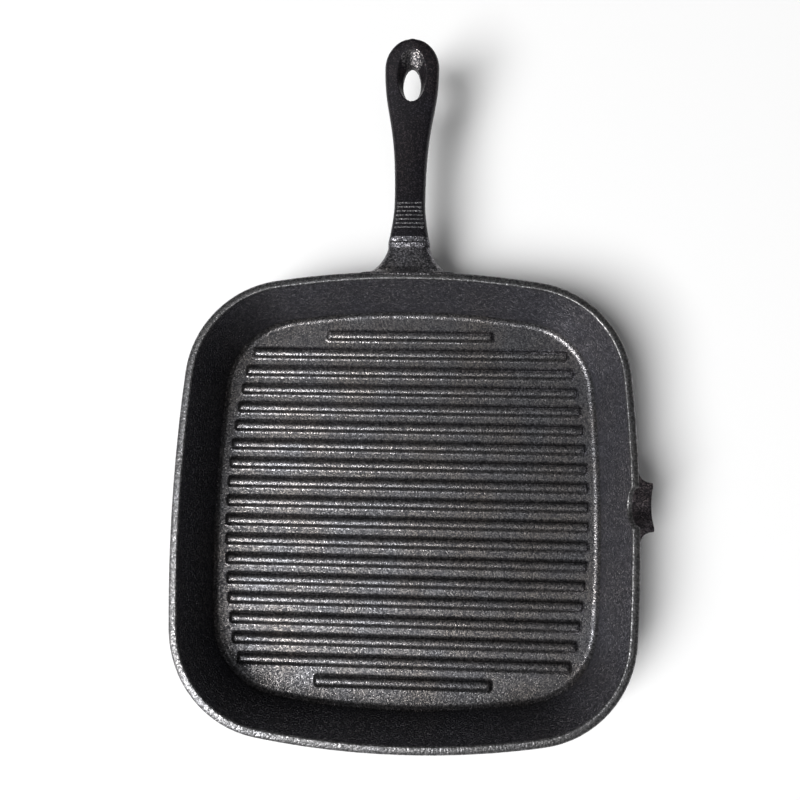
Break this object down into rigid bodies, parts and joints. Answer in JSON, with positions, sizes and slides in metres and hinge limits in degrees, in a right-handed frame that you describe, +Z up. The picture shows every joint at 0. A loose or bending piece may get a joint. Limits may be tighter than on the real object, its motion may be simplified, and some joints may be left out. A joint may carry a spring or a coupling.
{
  "type": "grill pan",
  "caption": "Square cast-iron grill pan with a ribbed floor, flared wall with a crowned rim, a side pour spout and a long handle with a dished hang hole.",
  "frame": {"origin": "middle of the flat underside, on the surface that the pan stands on", "axes": "+Z up, +Y from the pan's middle along the handle, +X towards the pour spout"},
  "size_m": [0.2677, 0.4082, 0.0539],
  "materials": {
    "iron_body": "sand-cast, oil-seasoned, satin black",
    "iron_ribs": "sand-cast, oil-seasoned, satin black with a warm sheen",
    "iron_handle": "sand-cast, oil-seasoned, smoother and darker black"
  },
  "bodies": {
    "root": {"pan_floor": "iron_body", "pan_wall": "iron_body", "pour_spout": "iron_body", "short_rib_far": "iron_ribs", "rib_01": "iron_ribs", "rib_02": "iron_ribs", "rib_03": "iron_ribs", "rib_04": "iron_ribs", "rib_05": "iron_ribs", "rib_06": "iron_ribs", "rib_07": "iron_ribs", "rib_08": "iron_ribs", "rib_09": "iron_ribs", "rib_10": "iron_ribs", "rib_11": "iron_ribs", "rib_12": "iron_ribs", "rib_13": "iron_ribs", "rib_14": "iron_ribs", "rib_15": "iron_ribs", "rib_16": "iron_ribs", "rib_17": "iron_ribs", "short_rib_near": "iron_ribs", "handle_root": "iron_handle", "handle_grip": "iron_handle", "thumb_ridge_1": "iron_handle", "thumb_ridge_2": "iron_handle", "thumb_ridge_3": "iron_handle", "thumb_ridge_4": "iron_handle", "thumb_ridge_5": "iron_handle", "thumb_ridge_6": "iron_handle", "thumb_ridge_7": "iron_handle"}
  },
  "joints": []
}
